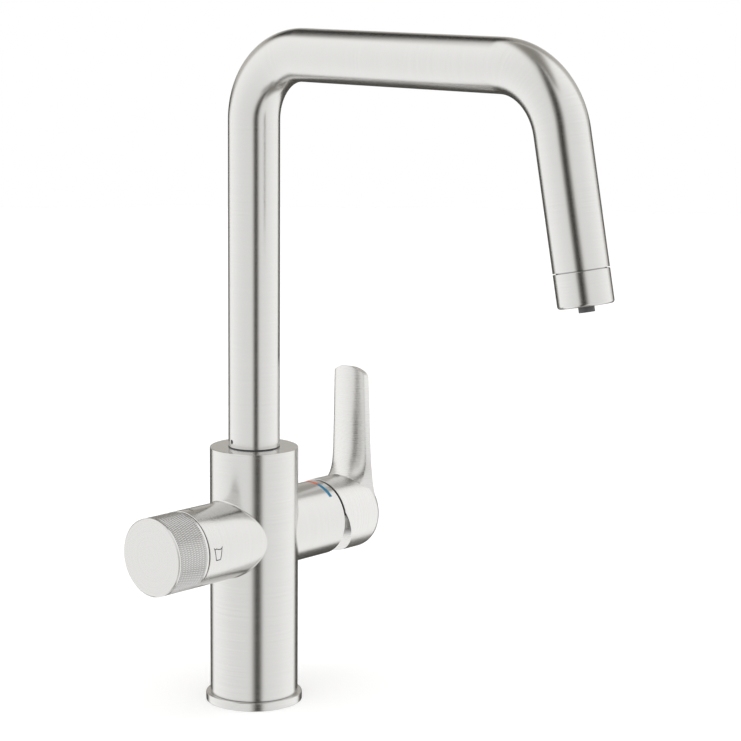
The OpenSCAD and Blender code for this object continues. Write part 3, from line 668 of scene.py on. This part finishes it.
class TAP_OT_knob(Operator):
    """Filter knob: plain face, smooth rims and a fine diamond knurl"""
    bl_idname = "tap.knob"
    bl_label = "Filter knob"

    def execute(self, context):
        sizes = context.scene.tap_sizes
        radius, rows, sides = KNOB_RADIUS, sizes.knurl_rows, 2 * sizes.knurl_count
        length = KNOB[1].x - KNOB[0].x
        face_rim, back_rim = 1.5 * MM, 1.9 * MM
        band = length - face_rim - back_rim
        bm = bmesh.new()
        pit = bm.verts.layers.float.new("pit")
        start, turn = first_loop(bm, radius, sides, face_rim)

        def ring(z, r, row=0):
            """Places a ring of the knob. Inside the band every second vertex is sunk."""
            def place(v):
                index = round(v[turn] / math.tau * sides)
                dip = sizes.knurl_depth if 0 < row < rows and (row + index) % 2 else 0
                return Vector(((r - dip) * math.cos(v[turn]), (r - dip) * math.sin(v[turn]), z))
            return place

        loop = start
        # The rows inside the band keep a little away from the smooth rims
        margin = 0.02
        for row in range(1, rows + 1):
            share = 1.0 if row == rows else margin + (1 - 2 * margin) * (row - 1) / (rows - 2)
            loop = grow(bm, loop, ring(face_rim + band * share, radius, row))
        # Painted shade: the knurl's pits get a darker colour for the shade in them, and the rims
        # get none
        pits = [v for v in bm.verts if v.co.xy.length < radius - sizes.knurl_depth / 2]
        bmesh.ops.connect_verts(bm, verts=pits)
        for v in pits:
            v[pit] = 1.0
        groove, lip, chamfer, back_edge = 0.3 * MM, 0.15 * MM, 0.5 * MM, 0.3 * MM
        recess, recess_depth = radius - 4 * MM, 3.6 * MM
        back = length - back_rim
        for rim, places in (
            (start, [(face_rim, radius - groove), (face_rim - lip, radius), (chamfer, radius),
                     (0, radius - chamfer)]),
            (loop, [(back, radius - groove), (back + lip, radius), (length - back_edge, radius),
                    (length, radius - back_edge), (length, recess),
                    (length - recess_depth, recess)]),
        ):
            for z, r in places:
                rim = grow(bm, rim, ring(z, r))
                for v in {v for e in rim for v in e.verts}:
                    v[pit] = 0.0
            close_loop(bm, rim)
        bmesh.ops.translate(bm, vec=(0, 0, KNOB[0].x), verts=bm.verts)
        bmesh.ops.recalc_face_normals(bm, faces=bm.faces)
        brush_lines(bm)
        lay_along_x(bm, sizes.cross)
        finish_piece(bm, "knurled_knob", "knob", steel(), ["filter_knob"],
                     sharp=14.0, weighted=False)
        return {"FINISHED"}


class TAP_OT_lever(Operator):
    """Lever: hub with a slanted inner face and a hollow, and a blade with a rounded face"""
    bl_idname = "tap.lever"
    bl_label = "Lever"
    # In mm, like all values of the blade's sections
    tip_rounding = 0.4

    def hub(self, sizes):
        """Turned hub, hollowed round the cartridge's cap and cut off on a slant below it."""
        cap_centre, hollow = 40 * MM, 20.7 * MM
        face, end = LEVER[0].x + 0.45 * MM, LEVER[1].x
        mouth = math.sqrt(hollow ** 2 - (face - cap_centre) ** 2)
        widest, steps = math.atan2(mouth, face - cap_centre), 14
        arc = [(cap_centre + hollow * math.cos(a), hollow * math.sin(a), 0)
               for a in [widest * i / steps for i in range(steps + 1)]]
        bm = turned(arc + [(face, HUB_RADIUS, 0.25 * MM), (end, HUB_RADIUS, sizes.hub_rounding),
                           (end, 0, 0)], 160)
        # Cuts the long edges of the barrel, which keeps its shading even after the slanted cut
        lengthwise = [e for e in bm.edges if e.calc_length() > 9 * MM and
                      abs(e.verts[0].co.z - e.verts[1].co.z) > 5 * MM]
        bmesh.ops.subdivide_edges(bm, edges=lengthwise, cuts=3)
        lay_along_x(bm, sizes.cross)
        slant, cut_place = math.radians(22.8), 55 * MM
        cut = bmesh.ops.bisect_plane(bm, geom=bm.verts[:] + bm.edges[:] + bm.faces[:], dist=1e-7,
                                     plane_co=(cut_place, 0, sizes.cross),
                                     plane_no=(-math.cos(slant), 0, -math.sin(slant)),
                                     clear_outer=True)
        rim = only(bmesh.types.BMEdge, cut["geom_cut"])
        bmesh.ops.triangle_fill(bm, edges=rim, use_beauty=True)
        return bm

    def section(self, sizes, k):
        """Cross-section of the blade at a height over the cross axis, as (x, y, height) in mm:
        round back, flanks that flare into the hub, and the rounded inner face."""
        tip, hub = (LEVER[1].z - sizes.cross) / MM, HUB_RADIUS / MM
        back, back_bend = LEVER[1].x / MM - 0.2, 60.0
        depth, bend = sizes.blade_depth / MM, sizes.blade_face / MM
        back_half, back_taper, face_half, face_taper = 11.35, 0.047, 11.2, 0.028
        flare, flare_foot, flare_fade, hub_inset, least_flank = 4.4, 9.7, 9.6, 0.35, 0.25
        sweep_out, sweep_fade, curl_height, face_edge, sag = 6.2, 4.6, 0.5, 0.2, 0.3
        outer = back_half + back_taper * (tip - k) \
            + flare * math.exp(-(k - flare_foot) / flare_fade)
        if k < flare_foot:
            outer = math.sqrt((hub - hub_inset) ** 2 - k * k)
        inner = min(face_half + face_taper * (tip - k), outer - least_flank)
        over = max(0.0, min(1.0, (k - tip + self.tip_rounding) / self.tip_rounding))
        drop = 1 - math.sqrt(1 - over * over)

        def back_x(y):
            return back - back_bend + math.sqrt(back_bend ** 2 - y * y) - sag * drop

        def face_x(y):
            """Nearly round, curled at its edges, and swept out where it meets the hub's top."""
            above = k - math.sqrt(max(0, hub ** 2 - y * y)) + 0.5
            sweep = sweep_out * math.exp(-max(0, above) / sweep_fade)
            curl = curl_height * (y / inner) ** 8
            return back + 0.2 - depth + y * y / (2 * bend) + curl - sweep + sag * drop

        points = [(back_x(y), y)
                  for y in (outer * math.cos(math.pi * i / 24) for i in range(25))]
        face = [(face_x(y), y)
                for y in (-(inner - face_edge) * math.cos(math.pi * i / 36) for i in range(37))]
        for sign in (-1, 1):
            start = Vector((back_x(outer), sign * outer))
            end = Vector((face_x(inner), sign * inner))
            flank = [tuple(start.lerp(end, share)) for share in (0.12, 0.5, 0.88)]
            points += flank + face if sign < 0 else flank[::-1]
        # The tip is crowned, has rounded corners and slopes down to the back
        crown_height, crown_start, corner_radius, corner_start, slope = 3.4, 45, 1.2, 70, 0.22
        crown = crown_height * max(0.0, (k - crown_start) / (tip - crown_start)) ** 2
        corner = max(0.0, (k - corner_start) / (tip - corner_start)) ** 2
        placed = []
        for x, y in points:
            share = min(1.0, abs(y) / outer)
            edge = max(0.0, min(1.0, (abs(y) - outer + corner_radius) / corner_radius))
            fall = crown * share ** 2 + corner * corner_radius * (1 - math.sqrt(1 - edge * edge))
            fall += slope * corner * (x - face_x(0))
            placed.append((x, y * (1 - 0.02 * drop), k - fall))
        return placed

    def blade(self, sizes):
        """Lofts the blade's cross-sections from inside the hub to the crowned tip."""
        tip = (LEVER[1].z - sizes.cross) / MM
        # They lie closer together where the flare and the tip bend more
        heights = [2 + 1.5 * i for i in range(11)] + [18.2 + 0.8 * i for i in range(18)]
        heights += [34 + 3 * i for i in range(13)] + [72, 74, 76, 78, 80, 81.5, 82.7]
        heights += [tip - self.tip_rounding * (1 - math.sin(math.radians(15 * i)))
                    for i in range(7)]
        bm = bmesh.new()
        loop = None
        for k in heights:
            points = [Vector((x, y, sizes.cross / MM + h)) * MM
                      for x, y, h in self.section(sizes, k)]
            if loop is None:
                loop, _ = first_loop(bm, 1, len(points))
                order = bm.verts.layers.int.new("order")
                for v in bm.verts:
                    v[order] = v.index
                for v in bm.verts:
                    v.co = points[v[order]]
                first = loop
            else:
                loop = grow(bm, loop, lambda v: points[v[order]])
        for rim in (first, loop):
            bmesh.ops.triangle_fill(bm, edges=rim, use_beauty=True)
        bmesh.ops.recalc_face_normals(bm, faces=bm.faces)
        return bm

    def execute(self, context):
        sizes, looks = context.scene.tap_sizes, context.scene.tap_looks
        finish = finish_named("brushed steel of the lever", brushed_steel, looks, fine=1.7,
                              rougher=looks.lever_rougher, brighter=looks.lever_brighter)
        for name, bm, lay in (
            ("lever_hub", self.hub(sizes), lambda co: (co.y, co.z, co.x)),
            ("lever_blade", self.blade(sizes), lambda co: (co.x, co.y, co.z)),
        ):
            brush_lines(bm, lay)
            finish_piece(bm, name, "lever", finish, ["lever_handle"], sharp=38.0)
        return {"FINISHED"}


class TAP_OT_marks(Operator):
    """Printed signs: tumbler outline, index line, hot and cold marks"""
    bl_idname = "tap.marks"
    bl_label = "Printed marks"

    def line(self, points, width, radius, cross):
        """A printed line on a cylinder along X. Points are (x, angle in degrees from the
        front)."""
        bm = bmesh.new()
        lifted, step = radius + 0.025 * MM, 0.8 * MM
        for (x0, a0), (x1, a1) in zip(points, points[1:]):
            a0, a1 = math.radians(a0), math.radians(a1)
            run = Vector((x1 - x0, (a1 - a0) * radius))
            side = Vector((-run.y, run.x)).normalized() * width
            longer = 1 + width / max(run.length, 1e-9)
            made = bmesh.ops.create_grid(bm, x_segments=max(1, int(run.length / step)),
                                         y_segments=1, size=0.5)
            for v in made["verts"]:
                flat = Vector((x0, a0 * radius)) + run * (v.co.x * longer + 0.5) + side * v.co.y
                angle = flat.y / radius
                v.co = (flat.x, -lifted * math.cos(angle), cross + lifted * math.sin(angle))

        def from_axis(f):
            middle = f.calc_center_median() - Vector((0, 0, cross))
            return Vector((0, middle.y, middle.z))

        face_outwards(bm, from_axis)
        return bm

    def execute(self, context):
        sizes, looks = context.scene.tap_sizes, context.scene.tap_looks
        dark = finish_named("sign grey", paint, tuple(looks.sign))
        tumbler = [(-52.2, 10.2), (-51.9, 8.4), (-51.0, -6.8), (-50.5, -7.9), (-48.1, -7.9),
                   (-47.6, -6.8), (-46.6, 8.4), (-46.3, 10.2)]
        brim = [(-51.8, 8.0), (-50.6, 9.2), (-49.2, 7.8), (-47.8, 7.4), (-46.7, 8.5)]
        index = [(-49.3, 86), (-49.3, 102)]
        for name, points, width in (("tumbler_sign", tumbler, sizes.mark_width),
                                    ("tumbler_water", brim, sizes.mark_width),
                                    ("index_mark", index, 0.9 * MM)):
            made = self.line([(x * MM, a) for x, a in points], width, KNOB_RADIUS, sizes.cross)
            finish_piece(made, name, "body", dark, weighted=False)
        place, width = 46.6 * MM, 2.3 * MM
        for name, colour, low, high in (("hot_mark", looks.hot, 79, 106),
                                        ("cold_mark", looks.cold, 48, 75)):
            made = self.line([(place, low), (place, high)], width, sizes.housing_radius,
                             sizes.cross)
            finish = finish_named(name.replace("_", " "), paint, tuple(colour))
            finish_piece(made, name, "body", finish, weighted=False)
        return {"FINISHED"}


class TAP_OT_inner_pieces(Operator):
    """Finishes of the small and inner pieces, which keep their CAD shape"""
    bl_idname = "tap.inner_pieces"
    bl_label = "Small and inner pieces"

    def execute(self, context):
        brass = finish_named("turned brass", plain_metal, (0.72, 0.5, 0.2), 0.28)
        rubber = finish_named("black rubber", moulded, (0.02, 0.02, 0.02), 0.7)
        ceramic = finish_named("lapped ceramic", moulded, (0.86, 0.84, 0.79), 0.2, 1500.0, 0.05)
        natural = finish_named("natural plastic", moulded, (0.72, 0.69, 0.6), 0.42)
        dark = finish_named("dark plastic", moulded, (0.045, 0.045, 0.048), 0.38)
        grey = finish_named("grey plastic", moulded, (0.11, 0.11, 0.115), 0.45)
        hose = finish_named("hose plastic", moulded, (0.75, 0.78, 0.82), 0.35)
        screw = finish_named("dark screw steel", plain_metal, (0.3, 0.3, 0.3), 0.32)
        finishes = {
            steel(follow=False): ["cartridge_cap"],
            brass: ["spout_nipple", "filter_riser", "filter_valve_body", "cartridge_nut",
                    "spout_sleeve", "lever_stem", "filter_spindle"],
            rubber: ["base_seal", "nipple_o_rings", "filter_valve_seal", "cartridge_port_seals",
                     "head_seal"],
            ceramic: ["fixed_filter_disc", "fixed_mixer_disc", "moving_mixer_disc",
                      "moving_filter_disc"],
            natural: ["cartridge_housing", "cartridge_driver", "knob_insert"],
            dark: ["spout_glide_ring", "disc_carrier"],
            grey: ["aerator_insert", "filter_nozzle"],
            hose: ["inner_hose"],
            screw: ["spout_lock_screw", "pivot_pin", "lever_grub_screw"],
        }
        for finish, names in finishes.items():
            for name in names:
                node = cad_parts[name]
                node.data.materials.clear()
                node.data.materials.append(finish)
        return {"FINISHED"}


class TAP_OT_stage(Operator):
    """Floor, studio surroundings, lamp and camera"""
    bl_idname = "tap.stage"
    bl_label = "Stage"

    def surroundings(self, context, sideways, forward):
        """White studio walls with the dark gaps that brushed steel mirrors. A gap is where
        ramps of the direction up, to the side and to the front are all above 0."""
        studio = context.scene.studio
        world = bpy.data.worlds.new("Studio")
        context.scene.world = world
        world.use_nodes = True
        tree = Tree(world.node_tree)
        look = tree.node("ShaderNodeTexCoord", None, None, out=0)
        up = tree.node("ShaderNodeSeparateXYZ", None, {0: look}, out=2)
        side, front = tree.dot(look, sideways), tree.dot(look, forward)
        wide = side.math("ABSOLUTE") / (1 - up * up).math("SQRT")
        behind = front.ramp(-0.05, 0.05, 1.0, 0.0)
        not_top = up.ramp(0.72, 0.8, 1.0, 0.0)
        card = front.ramp(-0.45, -0.7) * up.ramp(-0.05, 0.02) * not_top
        low = up.ramp(-0.8, -0.72) * up.ramp(0.0, 0.1, 1.0, 0.0) * wide.ramp(0.6, 0.76, 1.0, 0.0)
        high = up.ramp(0.3, 0.5) * not_top * side.ramp(-0.62, -0.42)
        high = high * side.ramp(-0.1, 0.08, 1.0, 0.32) * side.ramp(0.2, 0.55, 1.0, 0.0)
        over = up.math("ABSOLUTE").ramp(0.74, 0.84)
        over = over * side.ramp(-0.3, -0.05) * side.ramp(0.2, 0.45, 1.0, 0.0)
        shade = 1 - card * 0.51
        for gap, darkness in ((behind * low, 0.93), (behind * high, 0.97), (over, 0.75)):
            shade = shade * (1 - gap * darkness)
        walls = front.ramp(1.0, -0.6, 1.0, 1.25) * shade * studio.level
        seen = tree.camera_ray()
        tint = tree.mix(seen, tree.mix(shade, (*studio.warmth, 1), WHITE), WHITE)
        shader = tree.node("ShaderNodeBackground", None,
                           {"Color": tint, "Strength": walls * (1 - seen) + seen})
        tree.node("ShaderNodeOutputWorld", None, {"Surface": shader})

    def strip(self, context, sideways, forward):
        """Dark upright card beside the camera, which brushed steel mirrors as a narrow band.
        It is as bright as the walls at its sides and nearly black in its middle."""
        studio = context.scene.studio
        core, soft, darkest = 0.3, 1.7, 0.02
        middle, height = 0.3, 3.4
        bm = bmesh.new()
        bmesh.ops.create_grid(bm, x_segments=2, y_segments=8, size=0.5)
        for v in bm.verts:
            reach = studio.strip_aside + soft * v.co.x * studio.strip_width
            v.co = forward * studio.strip_away + sideways * reach \
                + Vector((0, 0, middle + height * v.co.y))
        made, tree = material("dark card")
        across = tree.dot(tree.place(), sideways) - studio.strip_aside
        half = studio.strip_width / 2
        level = across.math("ABSOLUTE").ramp(core * half, soft * half, darkest, 1.0)
        tint = tree.mix(level, (*studio.warmth, 1), WHITE)
        glow = tree.node("ShaderNodeEmission", None, {"Color": tint, "Strength": level})
        tree.node("ShaderNodeOutputMaterial", None, {"Surface": glow})
        piece = object_of(bm, "dark strip", made)
        for ray in ("camera", "diffuse", "shadow", "transmission"):
            setattr(piece, "visible_" + ray, False)

    def floor(self, context):
        """Pale floor that the camera sees a little brighter than it is lit."""
        studio = context.scene.studio
        bm = bmesh.new()
        bmesh.ops.create_circle(bm, cap_ends=True, radius=2.5, segments=96)
        made, tree = material("pale floor")
        grain = tree.noise(tree.place(), 6.0)
        matt = tree.node("ShaderNodeBsdfDiffuse", None,
                         {"Color": tree.shades(grain, studio.floor, 0.985), "Roughness": 0.5})
        glow = tree.node("ShaderNodeEmission", None,
                         {"Color": WHITE, "Strength": tree.camera_ray() * studio.lift})
        both = tree.node("ShaderNodeAddShader", None, {0: matt, 1: glow})
        tree.node("ShaderNodeOutputMaterial", None, {"Surface": both})
        piece = object_of(bm, "floor", made)
        piece.visible_glossy = False

    def camera(self, context, back, right):
        """The photograph's camera. back points from the tap to it."""
        up = back.cross(right)
        cos, sin = math.cos(VIEW_ROLL), math.sin(VIEW_ROLL)
        axes = (right * cos + up * sin, up * cos - right * sin, back, VIEW_PLACE)
        camera = bpy.data.objects.new("camera", bpy.data.cameras.new("camera"))
        camera.data.sensor_width = VIEW_SENSOR
        camera.data.lens = VIEW_LENS
        camera.data.clip_end = VIEW_END
        camera.matrix_world = Matrix([[axis[i] for axis in axes] for i in range(3)]
                                     + [[0, 0, 0, 1]])
        context.scene.collection.objects.link(camera)
        context.scene.camera = camera

    def lamp(self, context):
        lamp = bpy.data.lights.new("soft overhead", "AREA")
        lamp.shape = "DISK"
        lamp.size = 1.2
        lamp.energy = 4
        soft = bpy.data.objects.new("soft overhead", lamp)
        soft.location = (0, -0.1, 1.8)
        soft.visible_glossy = False
        context.scene.collection.objects.link(soft)

    def execute(self, context):
        back = Vector((math.sin(VIEW_TURN) * math.cos(VIEW_RISE),
                       -math.cos(VIEW_TURN) * math.cos(VIEW_RISE), math.sin(VIEW_RISE)))
        forward = Vector((back.x, back.y, 0)).normalized()
        sideways = Vector((math.cos(VIEW_TURN), math.sin(VIEW_TURN), 0))
        self.camera(context, back, sideways)
        context.scene.view_settings.view_transform = "Standard"
        self.surroundings(context, sideways, forward)
        self.strip(context, sideways, forward)
        self.floor(context)
        self.lamp(context)
        return {"FINISHED"}


class TAP_PT_sidebar(Panel):
    """Lists the tap's pieces and its values"""
    bl_label = "Filter mixer tap"
    bl_idname = "TAP_PT_sidebar"
    bl_space_type = "VIEW_3D"
    bl_region_type = "UI"
    bl_category = "Tap"

    def draw(self, context):
        layout = self.layout
        for group in (context.scene.tap_sizes, context.scene.tap_looks, context.scene.studio):
            box = layout.box()
            for name in group.bl_rna.properties.keys():
                if name not in {"rna_type", "name"}:
                    box.prop(group, name)
        for piece in PIECES:
            layout.operator(piece.bl_idname)


PIECES = (TAP_OT_column, TAP_OT_base_ring, TAP_OT_spout, TAP_OT_outlet, TAP_OT_knob, TAP_OT_lever,
          TAP_OT_marks, TAP_OT_inner_pieces, TAP_OT_stage)
CLASSES = (TapSizes, TapLooks, StudioLooks, *PIECES, TAP_PT_sidebar)


def register():
    for one in CLASSES:
        bpy.utils.register_class(one)
    bpy.types.Scene.tap_sizes = PointerProperty(type=TapSizes)
    bpy.types.Scene.tap_looks = PointerProperty(type=TapLooks)
    bpy.types.Scene.studio = PointerProperty(type=StudioLooks)


def unregister():
    del bpy.types.Scene.studio
    del bpy.types.Scene.tap_looks
    del bpy.types.Scene.tap_sizes
    for one in reversed(CLASSES):
        bpy.utils.unregister_class(one)


def main():
    register()
    for piece in PIECES:
        call = getattr(bpy.ops.tap, piece.bl_idname.split(".")[1])
        if call() != {"FINISHED"}:
            raise RuntimeError(f"{piece.bl_label} wasn't made")


if __name__ == "__main__":
    main()
